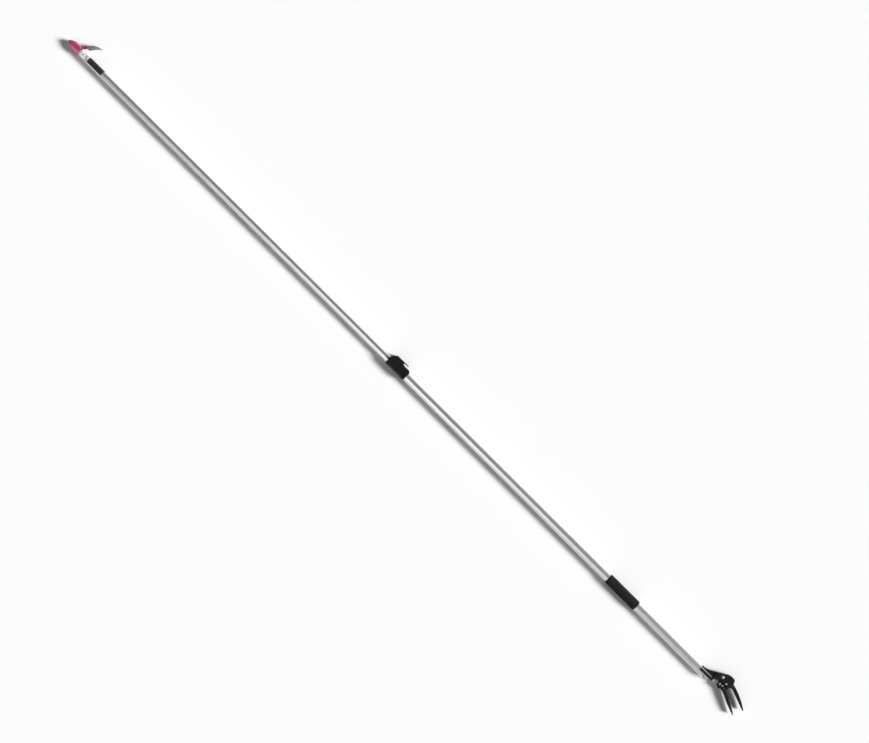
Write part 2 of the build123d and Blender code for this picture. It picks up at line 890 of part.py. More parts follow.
def lever_neck():
    """Start and end of the stem between the lever's boss and its handle."""
    start = handle_point(boss_run + boss_radius, squeeze_root_top - 3.5)
    end = handle_point(squeeze_root_run + 4, (squeeze_root_top + squeeze_root_low) / 2 - 1.5)
    return start, end


def handle_body():
    """Black casting: pronged saddle on the tube, forked web, fixed handle."""
    x = saddle_front
    back = x + saddle_length
    saddle = ring(x, back + 3, saddle_top, lower_radius)
    everything = (-saddle_top * 2, saddle_top * 2)
    saddle -= block((x - 1, back + 5), (-saddle_top * 2, prong_low), everything)
    web = bevelled(handle_web(), -web_half, web_half, web_bevel)
    web -= rod(x - 1, back + 3, lower_radius)
    web -= rod(back + 3, back + 12, lower_bore)
    boss_closed = rotated(boss_point, lever_pivot, squeeze)
    clear = boss_radius + clevis_gap * 2
    neck_clear = lever_neck_radius + clevis_gap * 2
    bay = polygon((back, saddle_top), (boss_closed[0], saddle_top), (boss_closed[0], -20), (back, -20))
    bay += polygon((back, saddle_top), (lever_pivot[0], lever_pivot[1] - 4), boss_closed, (back, -20))
    for turn in (0, squeeze):
        boss = rotated(boss_point, lever_pivot, turn)
        start, end = (rotated(point, lever_pivot, turn) for point in lever_neck())
        bay += hull((lever_pivot, lever_eye + clevis_gap * 2), (boss, clear))
        bay += hull((boss, neck_clear), (start, neck_clear), (end, neck_clear))
    body = saddle + web + fixed_bar()
    slot = (x - 1, back - 2)
    body -= block(slot, (window_low, window_high), everything)
    body -= block(slot, (window_low, saddle_top * 2), (prong_half, saddle_top * 2))
    body -= block(slot, (window_low, saddle_top * 2), (-saddle_top * 2, -prong_half))
    body -= slab(bay, -fork_half, fork_half)
    body -= post(lever_pivot, pivot_bolt_diameter / 2, -web_half, web_half)
    body -= post(stop_point, stop_pin_diameter / 2, -web_half, web_half)
    for station in saddle_rivet_stations():
        body -= spoke(station, saddle_rivet / 2, lower_radius - 1, saddle_top + 20, 90)
    return body


def squeeze_lever():
    """Moving handle: eye on the pivot, round boss over the link, stem, bowed handle."""
    half = fork_half - clevis_gap
    neck_start, neck_end = lever_neck()
    lever = slab(hull((lever_pivot, lever_eye), (boss_point, boss_radius)), 0, half)
    lever += post(lever_pivot, lever_eye, -half, half)
    neck_plan = hull((neck_start, lever_neck_radius), (neck_end, lever_neck_radius))
    lever += slab(neck_plan, -half, half)
    plan = leaf(
        handle_point(squeeze_root_run, squeeze_root_top),
        handle_point(squeeze_mid_run, squeeze_mid_top),
        handle_point(squeeze_tip_run, -squeeze_tip_drop),
        handle_point(squeeze_mid_run, squeeze_mid_low),
        handle_point(squeeze_root_run, squeeze_root_low),
        handle_point(squeeze_root_run - 2, (squeeze_root_top + squeeze_root_low) / 2),
    )
    lever += bevelled(plan, -handle_half, handle_half, handle_bevel)
    lever -= post(lever_pivot, pivot_bolt_diameter / 2 + pin_gap, -half, half)
    lever -= post(boss_rivet_point(), boss_rivet_diameter / 2, 0, half)
    return lever - post(link_point, link_pin / 2, 0, half)


def link_pin_post():
    """Pin in the lever's boss that runs in the eye underneath."""
    radius = link_pin / 2
    low = -clevis_gap - clevis_thickness - 0.4
    return button_bolt(link_point, radius, low, fork_half - clevis_gap, radius * 1.5, 1.0)


def boss_rivet_point():
    return (link_point[0] + boss_rivet_run, link_point[1] + boss_rivet_rise)


def boss_rivet():
    radius = boss_rivet_diameter / 2
    return button_bolt(boss_rivet_point(), radius, 0, fork_half - clevis_gap, radius * 1.5, 0.9)


def pivot_bolt():
    radius = pivot_bolt_diameter / 2
    return button_bolt(lever_pivot, radius, -web_half - 5, web_half, radius * 1.75, 2.6)


def pivot_nut():
    radius = pivot_bolt_diameter / 2
    return hex_nut(lever_pivot, radius, radius * 3.3, -web_half - 4.5, -web_half)


def stop_pin():
    radius = stop_pin_diameter / 2
    return button_bolt(stop_point, radius, -web_half, web_half, radius * 1.5, 1.2)


def handle_plug():
    """Plug in the tube's near end that guides the draw tube."""
    start = saddle_front - plug_depth
    plug = rod(start, start + plug_length, lower_bore) - scarf(5)
    plug -= rod(start, start + plug_length, draw_radius + slide_gap, rod_offset)
    for angle in plug_screw_angles():
        plug -= spoke(plug_screw_station(), plug_screw / 2, lower_bore - 3, lower_bore + 1, angle)
    for station in saddle_rivet_stations():
        plug -= spoke(station, saddle_rivet / 2, lower_bore - 3, lower_bore + 1, 90)
    return plug


def plug_screws():
    screws = []
    for angle in plug_screw_angles():
        shank = spoke(plug_screw_station(), plug_screw / 2, lower_bore - 3, lower_radius, angle)
        head = spoke(plug_screw_station(), plug_screw * 0.8, lower_radius, lower_radius + 1.6, angle)
        screws.append(shank + head)
    return screws


def saddle_rivets():
    rivets = []
    for station in saddle_rivet_stations():
        rivets.append(spoke(station, saddle_rivet / 2, lower_bore - 3, saddle_top, 90))
    return rivets


upper_cover, lower_cover = head_covers()
nodes = {
    "upper_head_cover": upper_cover,
    "lower_head_cover": lower_cover,
    "head_cover_screws": cover_screws(),
    "neck_bracket": neck(),
    "neck_rivets": neck_rivets(),
    "counter_blade": counter_blade(),
    "counter_blade_screws": counter_screws(),
    "blade_pivot_bolt": blade_pivot_bolt(),
    "blade_pivot_nut": blade_pivot_nut(),
    "upper_tube": upper_tube(),
    "label_band": label_band(),
    "slide_bush": slide_bush(),
    "rod_guide": rod_guide(),
    "blade_arm": blade_arm(),
    "cutting_blade": cutting_blade(),
    "blade_rivets": blade_rivets(),
    "blade_pin": blade_pin_post(),
    "pull_rod": pull_rod(),
    "rod_end": rod_end(),
    "draw_tube": draw_tube(),
    "draw_clevis": draw_clevis(),
    "rod_clutch": rod_clutch(),
    "spring_collar": spring_collar(),
    "lower_tube": lower_tube(),
    "guide_bush": guide_bush(),
    "clamp_body": clamp_body(),
    "clamp_screws": clamp_screws(),
    "lever_pin": lever_pin_post(),
    "lock_lever": lock_lever(),
    "brake_shoe": brake_shoe(),
    "foam_grip": foam_grip(),
    "handle_body": handle_body(),
    "handle_plug": handle_plug(),
    "plug_screws": plug_screws(),
    "saddle_rivets": saddle_rivets(),
    "pivot_bolt": pivot_bolt(),
    "pivot_nut": pivot_nut(),
    "stop_pin": stop_pin(),
    "return_spring": return_spring(),
    "squeeze_lever": squeeze_lever(),
    "link_pin": link_pin_post(),
    "boss_rivet": boss_rivet(),
}

# The frame's origin lies on the ground under the pole's axis, at the middle of the clamp.
place = Pos(-(clamp_front + clamp_length / 2), 0, rest_height)

os.makedirs("parts", exist_ok=True)
for name, shape in nodes.items():
    pieces = shape if isinstance(shape, list) else [shape]
    placed = [place * piece for piece in pieces]
    solid = placed[0] if len(placed) == 1 else Compound(children=placed)
    export_step(solid, f"parts/{name}.step")

print("rod travel, mm:", round(rod_travel, 3))
print("blade pivot:", blade_pivot, "lever pivot:", lever_pivot, "lever pin:", lever_pin_point())
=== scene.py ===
import json

import bmesh
import bpy
import numpy as np
from mathutils import Matrix, Vector


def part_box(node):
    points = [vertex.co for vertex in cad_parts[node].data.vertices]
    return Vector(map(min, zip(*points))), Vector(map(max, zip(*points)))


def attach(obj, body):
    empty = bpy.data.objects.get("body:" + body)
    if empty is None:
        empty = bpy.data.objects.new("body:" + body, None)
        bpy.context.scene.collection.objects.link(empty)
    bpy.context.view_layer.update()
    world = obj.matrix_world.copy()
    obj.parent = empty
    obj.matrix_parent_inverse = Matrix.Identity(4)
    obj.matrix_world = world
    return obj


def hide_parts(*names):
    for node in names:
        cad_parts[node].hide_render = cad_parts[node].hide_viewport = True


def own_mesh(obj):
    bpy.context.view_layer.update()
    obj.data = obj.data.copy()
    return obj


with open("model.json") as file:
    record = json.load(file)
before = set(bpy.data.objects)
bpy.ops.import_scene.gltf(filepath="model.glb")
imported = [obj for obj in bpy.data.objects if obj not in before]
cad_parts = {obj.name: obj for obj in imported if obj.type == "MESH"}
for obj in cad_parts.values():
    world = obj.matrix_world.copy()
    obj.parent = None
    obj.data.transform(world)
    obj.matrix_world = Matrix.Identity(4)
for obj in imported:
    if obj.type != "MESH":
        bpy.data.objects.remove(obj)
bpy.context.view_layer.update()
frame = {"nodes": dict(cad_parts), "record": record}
nodes = frame["nodes"]
slotOf = {part["node"]: part["material_slot"] for part in frame["record"]["subparts"]}
scene = bpy.context.scene
scene.view_settings.view_transform = "Standard"
millimetre = 0.001
fullTurn = 2 * np.pi
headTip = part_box("upper_head_cover")[0].x                             # foremost point of the head
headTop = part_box("upper_head_cover")[1].z
poleHeight = sum(corner.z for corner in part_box("upper_tube")) / 2     # the pole's axis above the floor
print("frame loaded,", len(nodes), "pieces")

# Camera: straight above the pole, placed by the head's tip and the pole's slope in the picture
cameraSet = {
    "width": 869,               # picture frame, pixels
    "height": 743,
    "tip": (69.0, 41.0),        # pixel under which the tip of the head lies
    "slope": 44.9,              # degrees, head to handle, down from level
    "pixel": 0.00315,           # metres to one pixel
    "lens": 90.0,
    "sensor": 36.0,
    "reach": 100,               # metres to the furthest thing drawn
}


def makeCamera(c):
    turn = np.radians(c["slope"])
    right = Vector((np.cos(turn), np.sin(turn), 0))
    up = Vector((-np.sin(turn), np.cos(turn), 0))
    tip = Vector((headTip, 0, poleHeight))
    across = (c["width"] / 2 - c["tip"][0]) * c["pixel"]
    down = (c["height"] / 2 - c["tip"][1]) * c["pixel"]
    middle = tip + right * across - up * down
    data = bpy.data.cameras.new("overheadCamera")
    data.lens = c["lens"]
    data.sensor_width = c["sensor"]
    data.clip_end = c["reach"]
    camera = bpy.data.objects.new("overheadCamera", data)
    distance = c["width"] * c["pixel"] * c["lens"] / c["sensor"]
    place = Matrix((right, up, Vector((0, 0, 1)))).transposed().to_4x4()
    place.translation = middle + Vector((0, 0, distance))
    camera.matrix_world = place
    scene.collection.objects.link(camera)
    scene.camera = camera
    return middle


viewMiddle = makeCamera(cameraSet)
print("camera over", [round(v, 3) for v in viewMiddle])


# A socket of a node tree: arithmetic adds Math nodes, add() makes any other node
class Wire:
    def __init__(self, tree, socket=None):
        self.tree = tree
        self.socket = socket

    def add(self, kind, settings=None, links=None, out=0):
        node = self.tree.nodes.new(kind)
        for key, value in (settings or {}).items():
            setattr(node, key, value)
        for key, value in (links or {}).items():
            if isinstance(value, Wire):
                self.tree.links.new(value.socket, node.inputs[key])
            else:
                node.inputs[key].default_value = value
        return Wire(self.tree, node.outputs[out])

    def ramp(self, value, low, high, top=1.0):       # smooth step from 0 at low to top at high
        links = {"Value": value, "From Min": low, "From Max": high, "To Max": top}
        return self.add("ShaderNodeMapRange", {"interpolation_type": "SMOOTHSTEP"}, links)

    def vector(self, operation, first, second=None, out=0):
        links = {0: first} if second is None else {0: first, 1: second}
        return self.add("ShaderNodeVectorMath", {"operation": operation}, links, out)

    def math(self, operation, first, second):
        return self.add("ShaderNodeMath", {"operation": operation}, {0: first, 1: second})

    def __abs__(self):
        return self.math("ABSOLUTE", self, 0.0)

    def __add__(self, other):
        return self.math("ADD", self, other)

    def __radd__(self, other):
        return self.math("ADD", other, self)

    def __sub__(self, other):
        return self.math("SUBTRACT", self, other)

    def __rsub__(self, other):
        return self.math("SUBTRACT", other, self)

    def __mul__(self, other):
        return self.math("MULTIPLY", self, other)

    def __rmul__(self, other):
        return self.math("MULTIPLY", other, self)


# Finishes. Each starts from the object's own coordinates, in metres. In their dictionaries a noise is
# (grains to the metre, octaves, share of the finer ones, stretch of each axis), and a bump is
# (strength, depth, radius of the softened edges)
edgeTurn = (0.01, 0.12)          # 1 - cosine of the softened normal's lean where wear begins and is full
bevelSamples = 6
mixColours = (6, 7)              # a Mix node's two colour sockets, and its colour output
mixOut = 2


class Finish:
    def __init__(self, name, **constants):
        self.material = bpy.data.materials.new(name)
        self.material.use_nodes = True
        self.tree = self.material.node_tree
        self.shader = self.tree.nodes["Principled BSDF"]
        self.root = Wire(self.tree)
        self.place = self.root.add("ShaderNodeTexCoord", out="Object")
        for socket, value in constants.items():
            self.shader.inputs[socket.replace("_", " ")].default_value = value

    def noise(self, scale, detail, rough=0.5, stretch=None):
        spot = self.place
        if stretch:
            spot = self.root.add("ShaderNodeMapping", links={"Vector": spot, "Scale": stretch})
        links = {"Vector": spot, "Scale": scale, "Detail": detail, "Roughness": rough}
        return self.root.add("ShaderNodeTexNoise", links=links, out="Fac")

    def cells(self, scale, feature, out):
        links = {"Vector": self.place, "Scale": scale}
        return self.root.add("ShaderNodeTexVoronoi", {"feature": feature}, links, out)

    def axis(self, name):        # one of the object's own coordinates
        return self.root.add("ShaderNodeSeparateXYZ", links={"Vector": self.place}, out=name)

    def fromTip(self):           # distance back from the head's tip
        return self.axis("X") - headTip

    def ramp(self, value, low, high):
        return self.root.ramp(value, low, high)

    def contrast(self, noise, half=0.2):     # noise spread about its middle to the full range
        return self.ramp(noise, 0.5 - half, 0.5 + half)

    def softened(self, radius):  # normal with the edges rounded off
        return self.root.add("ShaderNodeBevel", {"samples": bevelSamples}, {"Radius": radius})

    def edges(self, radius):     # 1 along an edge, 0 on a flat
        flat = self.root.add("ShaderNodeNewGeometry", out="Normal")
        likeness = self.root.vector("DOT_PRODUCT", self.softened(radius), flat, "Value")
        return self.ramp(1 - likeness, *edgeTurn)

    def wear(self, s):           # patches along the edges
        return self.edges(s["edge"]) * self.ramp(self.noise(*s["spots"]), *s["spotReach"])

    def blend(self, mask, first, second):
        links = {"Factor": mask, mixColours[0]: first, mixColours[1]: second}
        return self.root.add("ShaderNodeMix", {"data_type": "RGBA"}, links, mixOut)

    def bump(self, height, strength, depth, bevel=0.0):
        links = {"Height": height, "Strength": strength, "Distance": depth}
        if bevel:
            links["Normal"] = self.softened(bevel)
        self.link("Normal", self.root.add("ShaderNodeBump", links=links))

    def link(self, socket, wire):
        self.tree.links.new(wire.socket, self.shader.inputs[socket])


def grey(level, cool=1.015):     # neutral, a touch cool
    return (level, level, level * cool, 1)


aluminiumSet = {
    "dark": 0.73,
    "light": 0.84,
    "lines": (1.0, 3.0, 0.6, (3, 900, 900)),
    "lineShare": 0.55,                      # of the shade, and blotches give the rest
    "blotch": (9.0, 4.0, 0.55),
    "scratch": (60.0, 3.0, 0.6, (1, 14, 14)),
    "rough": 0.20,
    "lineRough": 0.14,
    "scratchRough": 0.06,
    "bump": (0.12, 0.00006),
}


def drawnAluminium(s):                   # fine draw lines along the tube, faint handling marks
    f = Finish("drawn_aluminium", Metallic=0.85)
    lines = f.noise(*s["lines"])
    blotch = f.noise(*s["blotch"])
    scratch = f.noise(*s["scratch"])
    shade = f.contrast(lines * s["lineShare"] + blotch * (1 - s["lineShare"]))
    f.link("Base Color", f.blend(shade, grey(s["dark"]), grey(s["light"])))
    f.link("Roughness", s["rough"] + lines * s["lineRough"] + scratch * s["scratchRough"])
    f.bump(lines, *s["bump"])
    return f.material


castSet = {
    "dark": 0.86,
    "light": 0.95,
    "grain": (900.0, 3.0, 0.6),
    "cloud": (60.0, 3.0),
    "paintedShade": (0.26, 0.22, 0.21, 1),         # painted shade in the corner behind the head
    "shadeReach": (0.060, 0.048),           # distances from the head's tip
    "shadeRagged": 0.006,                   # how far its edge wanders
    "shadeLeast": 0.4,
    "shadeGrain": 0.8,
    "rough": 0.37,
    "grainRough": 0.16,
    "bump": (0.15, 0.00012, 0.0004),
}


def neckAluminium(s):                    # tumbled bracket, a little brighter than the tubes, with painted shade just behind the head
    f = Finish("neck_aluminium", Metallic=0.3)
    grain = f.noise(*s["grain"])
    cloud = f.noise(*s["cloud"])
    # painted shade: the neck darkens just behind the head, in the corner where it meets the cover
    place = f.fromTip() + (cloud - 0.5) * s["shadeRagged"]
    paintedShade = f.ramp(place, *s["shadeReach"]) * (s["shadeLeast"] + grain * s["shadeGrain"])
    clean = f.blend(f.contrast(cloud), grey(s["dark"]), grey(s["light"]))
    f.link("Base Color", f.blend(paintedShade, clean, s["paintedShade"]))
    f.link("Roughness", s["rough"] + grain * s["grainRough"])
    f.bump(grain, *s["bump"])
    return f.material


crimsonSet = {
    "deep": (0.36, 0.018, 0.075, 1),
    "bright": (0.50, 0.040, 0.125, 1),
    "flow": (38.0, 3.0, 0.55),
    "flowHalf": 0.25,
    "grain": (1600.0, 2.0, 0.6),
    "worn": (0.58, 0.16, 0.23, 1),          # edges
    "edge": 0.0006,
    "spots": (220.0, 3.0),
    "spotReach": (0.4, 0.62),
    "paintedHighlight": (0.62, 0.22, 0.30, 1),        # painted highlight on the shoulders: a pale colour standing in for the reflection of the bright surroundings
    "highlightLeast": 0.5,
    "highlightMiddle": 0.002,                     # the line that they lie on both sides of, at the nose
    "highlightTilt": 0.05,                        # how much it rises to one metre
    "highlightReach": (0.0050, 0.0090),           # how far out from it they begin and are full
    "highlightDepth": (0.0065, 0.0025),           # how far down from the top they end and begin
    "patch": (420.0, 4.0, 0.65),
    "patchReach": (0.2, 0.55),
    "darkNose": (0.25, 0.10, 0.14, 1),       # darker towards the nose's tip
    "noseReach": (0.018, 0.003),           # how far back from the tip it goes
    "noseRagged": 0.008,
    "noseShare": 0.8,
    "paintedShade": (0.12, 0.040, 0.06, 1),        # painted shade along the rear edge
    "shadeReach": (0.041, 0.047),           # distances from the tip
    "shadeShare": 0.7,
    "rough": 0.26,
    "flowRough": 0.14,
    "grainRough": 0.06,
    "noseRough": 0.25,
    "bump": (0.16, 0.00008, 0.0007),
}


def crimsonMould(s):                     # moulded red, paler on worn edges, with a painted highlight on both shoulders, darker towards the nose, and painted shade along the rear edge
    f = Finish("crimson_plastic", Coat_Weight=0.25, Coat_Roughness=0.18, Specular_IOR_Level=0.5)
    flow = f.noise(*s["flow"])
    grain = f.noise(*s["grain"])
    body = f.blend(f.contrast(flow, s["flowHalf"]), s["deep"], s["bright"])
    fromTip = f.fromTip()
    # painted highlight: the shoulders on either side of a middle line turn pale near the top, standing in
    # for reflected light
    aside = abs(f.axis("Y") - fromTip * s["highlightTilt"] - s["highlightMiddle"])
    highlightMask = f.ramp(aside, *s["highlightReach"]) * f.ramp(headTop - f.axis("Z"), *s["highlightDepth"])
    highlightMask = highlightMask * (s["highlightLeast"] + flow * (1 - s["highlightLeast"]))
    patches = f.ramp(f.noise(*s["patch"]), *s["patchReach"])
    # darker and rougher towards the nose's tip, in patches
    noseMask = f.ramp(fromTip + (flow - 0.5) * s["noseRagged"], *s["noseReach"]) * patches
    # painted shade along the cover's rear edge, in patches
    paintedShade = f.ramp(fromTip, *s["shadeReach"]) * patches
    colour = f.blend(highlightMask, body, s["paintedHighlight"])
    colour = f.blend(f.wear(s), colour, s["worn"])
    colour = f.blend(noseMask * s["noseShare"], colour, s["darkNose"])
    f.link("Base Color", f.blend(paintedShade * s["shadeShare"], colour, s["paintedShade"]))
    smooth = s["rough"] + flow * s["flowRough"] + grain * s["grainRough"]
    f.link("Roughness", smooth + noseMask * s["noseRough"])
    f.bump(grain, *s["bump"])
    return f.material


paintSet = {
    "deep": (0.20, 0.030, 0.045, 1),
    "bright": (0.30, 0.050, 0.075, 1),
    "flow": (60.0, 3.0, 0.55),
    "bare": (0.30, 0.29, 0.28, 1),          # steel where the paint is chipped
    "bareMetal": 0.8,
    "edge": 0.0005,
    "spots": (500.0, 4.0, 0.65),
    "spotReach": (0.5, 0.58),
    "rough": 0.34,
    "flowRough": 0.14,
    "bump": (0.1, 0.00008, 0.0006),
}


def crimsonPaint(s):                     # dark red paint on the blade's arm, chipped to the steel on edges
    f = Finish("crimson_paint", Coat_Weight=0.1, Coat_Roughness=0.2, Specular_IOR_Level=0.4)
    flow = f.noise(*s["flow"])
    chips = f.wear(s)
    f.link("Base Color", f.blend(chips, f.blend(flow, s["deep"], s["bright"]), s["bare"]))
    f.link("Roughness", s["rough"] + flow * s["flowRough"])
    f.link("Metallic", chips * s["bareMetal"])
    f.bump(flow, *s["bump"])
    return f.material


steelSet = {
    "dark": 0.36,
    "light": 0.62,
    "marks": (1.0, 3.0, 0.65, (2600, 160, 900)),
    "patch": (90.0, 4.0, 0.6),
    "bellyDark": (0.13, 0.135, 0.115, 1),
    "bellyReach": (0.063, 0.090),     # darker over the belly and clean at the tip: distances from the head's tip
    "bellyRagged": 0.03,
    "bellyLeast": 0.45,
    "bellyPatch": 0.6,
    "fixed": 0.88,                  # the fixed blade is bright, with no darkening on it
    "fixedSide": (0.020, 0.012),    # it lies close to the pole's axis, the cutting blade outside
    "fixedLeast": 0.7,
    "fixedMarks": 0.2,
    "rough": 0.34,
    "markRough": 0.12,
    "bellyRough": 0.2,
    "bump": (0.18, 0.00005, 0.0003),
}


def groundSteel(s):                      # blade plate: grinding marks across it, darker and duller in patches over the belly
    f = Finish("ground_steel", Metallic=0.55)
    marks = f.noise(*s["marks"])
    patch = f.noise(*s["patch"])
    tone = f.contrast(marks)
    fixed = f.ramp(f.axis("Y"), *s["fixedSide"])
    # darker and duller over the belly, clean towards the tip
    place = f.fromTip() + (patch - 0.5) * s["bellyRagged"]
    bellyDark = (1 - f.ramp(place, *s["bellyReach"])) * (1 - fixed)
    ground = f.blend(tone, grey(s["dark"]), grey(s["light"]))
    clean = f.blend(fixed * (s["fixedLeast"] + tone * s["fixedMarks"]), ground, grey(s["fixed"]))
    f.link("Base Color", f.blend(bellyDark * (s["bellyLeast"] + patch * s["bellyPatch"]), clean, s["bellyDark"]))
    f.link("Roughness", s["rough"] + tone * s["markRough"] + bellyDark * s["bellyRough"])
    f.bump(marks, *s["bump"])
    return f.material


plateSet = {"crystal": 1400.0, "edge": 0.0003, "crystalRough": 0.14, "bump": (0.06, 0.00004, 0.00025)}
zincSet = {**plateSet, "dark": 0.58, "light": 0.78, "worn": 0.9, "rough": 0.30}
dulledSet = {**plateSet, "dark": 0.40, "light": 0.56, "worn": 0.62, "rough": 0.42}     # weathered bolts


def platedSteel(name, s, tint=1.0):      # zinc plate: small crystals, rubbed bright on edges
    f = Finish(name, Metallic=1.0)
    crystals = f.cells(s["crystal"], "F1", "Color")
    tone = f.root.add("ShaderNodeRGBToBW", links={"Color": crystals})
    body = f.blend(tone, grey(s["dark"] * tint), grey(s["light"] * tint))
    f.link("Base Color", f.blend(f.edges(s["edge"]), body, grey(s["worn"] * tint)))
    f.link("Roughness", s["rough"] + tone * s["crystalRough"])
    f.bump(tone, *s["bump"])
    return f.material


sparkSet = {
    "grain": (2400.0, 3.0, 0.6),
    "cloud": (45.0, 3.0),
    "edge": 0.0006,
    "spots": (260.0, 4.0, 0.6),
    "spotReach": (0.44, 0.62),
    "wornShare": 0.7,
    "grainRough": 0.22,
    "wornGloss": 0.1,
    "bump": (0.35, 0.00012, 0.0007),
}
mouldSet = {**sparkSet, "deep": 0.0045, "pale": 0.008, "worn": 0.03, "rough": 0.44}
beadHighlightSet = {**sparkSet, "deep": 0.04, "pale": 0.07, "worn": 0.08, "rough": 0.30}     # paler colour is a painted highlight along the beads; the lower roughness is their polish by hands


def blackMould(name, s):                 # fine spark grain, edges rubbed a little paler
    f = Finish(name, Specular_IOR_Level=0.18)
    grain = f.noise(*s["grain"])
    worn = f.wear(s)
    body = f.blend(f.contrast(f.noise(*s["cloud"])), grey(s["deep"]), grey(s["pale"]))
    f.link("Base Color", f.blend(worn * s["wornShare"], body, grey(s["worn"])))
    f.link("Roughness", s["rough"] + grain * s["grainRough"] - worn * s["wornGloss"])
    f.bump(grain, *s["bump"])
    return f.material


bearingSet = {
    "deep": (0.44, 0.43, 0.40, 1),
    "pale": (0.60, 0.59, 0.56, 1),
    "cloud": (120.0, 3.0),
    "rough": 0.35,
    "cloudRough": 0.2,
    "bump": (0.1, 0.0001),
}


def bearingPlastic(s):                   # waxy grey bush material
    f = Finish("bearing_plastic", Specular_IOR_Level=0.4)
    cloud = f.noise(*s["cloud"])
    f.link("Base Color", f.blend(cloud, s["deep"], s["pale"]))
    f.link("Roughness", s["rough"] + cloud * s["cloudRough"])
    f.bump(cloud, *s["bump"])
    return f.material


filmSet = {
    "ink": 0.012,
    "faded": 0.0264,
    "speck": (700.0, 3.0),
    "line": 0.32,
    "inset": 0.0022,                        # the pale line's place, from each end
    "lineEdge": (0.0002, 0.0003),           # from its middle, where it begins and ends to fade
    "rough": 0.3,
    "speckRough": 0.16,
    "bump": (0.08, 0.00003),
}


def labelFilm(s):                        # bare black film with a thin pale line near each end
    f = Finish("label_film", Specular_IOR_Level=0.45)
    low, high = (corner.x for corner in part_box("label_band"))
    half = (high - low) / 2
    speck = f.noise(*s["speck"])
    fromMiddle = abs(f.axis("X") - (low + half))
    offLine = abs(half - s["inset"] - fromMiddle)
    ink = f.blend(speck, grey(s["ink"]), grey(s["faded"]))
    f.link("Base Color", f.blend(1 - f.ramp(offLine, *s["lineEdge"]), ink, grey(s["line"])))
    f.link("Roughness", s["rough"] + speck * s["speckRough"])
    f.bump(speck, *s["bump"])
    return f.material


foamSet = {
    "deep": 0.005,
    "pale": 0.015,
    "cell": 1500.0,
    "cloud": (90.0, 4.0, 0.6),
    "cellShare": 0.3,
    "toneReach": (0.3, 0.9),
    "rough": 0.78,
    "cloudRough": 0.2,
    "bump": (0.5, 0.0003),
}


def foamSkin(s):                         # closed cells, matt, with a faint dusty bloom
    f = Finish("foam_skin", Specular_IOR_Level=0.2, Sheen_Weight=0.04, Sheen_Roughness=0.5)
    cell = f.cells(s["cell"], "SMOOTH_F1", "Distance")
    cloud = f.noise(*s["cloud"])
    tone = f.ramp(cloud + cell * s["cellShare"], *s["toneReach"])
    f.link("Base Color", f.blend(tone, grey(s["deep"]), grey(s["pale"])))
    f.link("Roughness", s["rough"] + cloud * s["cloudRough"])
    f.bump(cell, *s["bump"])
    return f.material


rubberSet = {
    "deep": 0.012,
    "pale": 0.035,
    "grain": (1800.0, 3.0),
    "rough": 0.7,
    "grainRough": 0.2,
    "bump": (0.3, 0.0001),
}


def brakeRubber(s):                      # matt rubber of the brake shoe
    f = Finish("brake_rubber", Specular_IOR_Level=0.3)
    grain = f.noise(*s["grain"])
    f.link("Base Color", f.blend(grain, grey(s["deep"]), grey(s["pale"])))
    f.link("Roughness", s["rough"] + grain * s["grainRough"])
    f.bump(grain, *s["bump"])
    return f.material


finishes = {
    "tube_aluminium": drawnAluminium(aluminiumSet),
    "neck_aluminium": neckAluminium(castSet),
    "red_plastic": crimsonMould(crimsonSet),
    "red_paint": crimsonPaint(paintSet),
    "blade_steel": groundSteel(steelSet),
    "zinc_steel": platedSteel("zinc_plate", dulledSet),
    "rod_steel": platedSteel("drawn_steel", zincSet, tint=1.05),
    "black_steel": platedSteel("phosphated_steel", zincSet, tint=0.72),
    "black_plastic": blackMould("black_mould", mouldSet),
    "bearing_plastic": bearingPlastic(bearingSet),
    "black_film": labelFilm(filmSet),
    "foam": foamSkin(foamSet),
    "brake_rubber": brakeRubber(rubberSet),
}
for node, slot in slotOf.items():
    mesh = nodes[node].data
    mesh.materials.clear()
    mesh.materials.append(finishes[slot])
print("finishes on every piece:", len(finishes))

# Grids of points become one mesh: each point joins its next neighbours, the columns wrap round,
# and the rows too where they are closed
mergeDistance = 1e-7
thinEdge = 1e-8


def gridPiece(name, grids, body, slot, closeRows=False, crease=None, finish=None):
    count, rows, columns = grids.shape[:3]
    index = np.arange(count * rows * columns).reshape(count, rows, columns)
    if closeRows:
        index = np.concatenate([index, index[:, :1]], 1)
    index = np.concatenate([index, index[:, :, :1]], 2)
    corners = [index[:, :-1, :-1], index[:, 1:, :-1], index[:, 1:, 1:], index[:, :-1, 1:]]
    quads = np.stack(corners, -1).reshape(-1, 4)
    mesh = bpy.data.meshes.new(name)
    mesh.from_pydata(grids.reshape(-1, 3).tolist(), [], quads.tolist())
    shell = bmesh.new()
    shell.from_mesh(mesh)
    bmesh.ops.remove_doubles(shell, verts=shell.verts, dist=mergeDistance)
    bmesh.ops.dissolve_degenerate(shell, edges=shell.edges, dist=thinEdge)
    bmesh.ops.recalc_face_normals(shell, faces=shell.faces)
    shell.to_mesh(mesh)
    shell.free()
    mesh.polygons.foreach_set("use_smooth", np.ones(len(mesh.polygons), bool))
    if crease:
        mesh.set_sharp_from_angle(angle=np.radians(crease))
    piece = bpy.data.objects.new(name, mesh)
    scene.collection.objects.link(piece)
    mesh.materials.append(finish or finishes[slot])
    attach(piece, body)
    return piece


def circleOf(count):             # angles of so many points round a circle
    return np.linspace(0, fullTurn, count, endpoint=False)


# Foam grip: a sleeve turned about the pole. Its radius is inner + wall * sqrt(1 - drop * roll^2), where
# roll goes from 1 at an end to 0 where the rolled stretch stops, less slow sine swells along and round it
gripSet = {
    "roll": (0.0085, 0.0055),    # length of the rolled stretch at the front and at the rear
    "drop": 0.95,
    "steps": 180,
    "around": 160,
    "uneven": 0.00022,
    "waves": (3, 5, 8),          # swells along the sleeve
    "turns": (2, 3, 5),          # and round it
    "shift": 1.7,                # sets them off from each other
}


